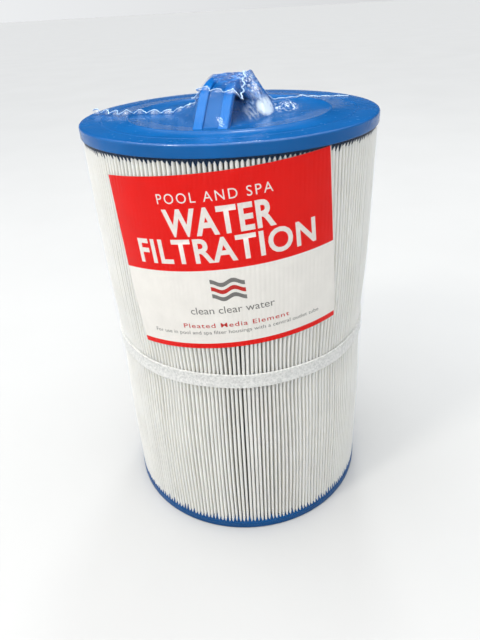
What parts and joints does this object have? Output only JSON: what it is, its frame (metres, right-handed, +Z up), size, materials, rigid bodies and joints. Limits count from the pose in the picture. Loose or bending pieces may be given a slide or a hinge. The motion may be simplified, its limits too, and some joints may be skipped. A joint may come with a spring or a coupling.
{
  "type": "pleated water filter cartridge",
  "caption": "Upright pleated fabric filter cartridge with cast end caps, arched carrying handle, open bottom bore, middle band, tilted label and clear shrink film.",
  "frame": {"origin": "centre of the base, on the surface that the cartridge stands on", "axes": "+Z up along the cartridge's axis towards the handle; the handle's arch runs along Y; the label faces -Y"},
  "size_m": [0.2298, 0.2298, 0.3729],
  "materials": {
    "cap": "gloss",
    "handle": "gloss",
    "media": "matte",
    "seam": "satin",
    "core": "satin",
    "band": "satin",
    "label": "gloss",
    "film": "gloss"
  },
  "bodies": {
    "root": {"top_end_cap": "cap", "handle": "handle", "bottom_end_cap": "cap", "pleated_media": "media", "pleat_seam": "seam", "core_tube": "core", "centre_band": "band", "label": "label", "shrink_film": "film"}
  },
  "joints": []
}
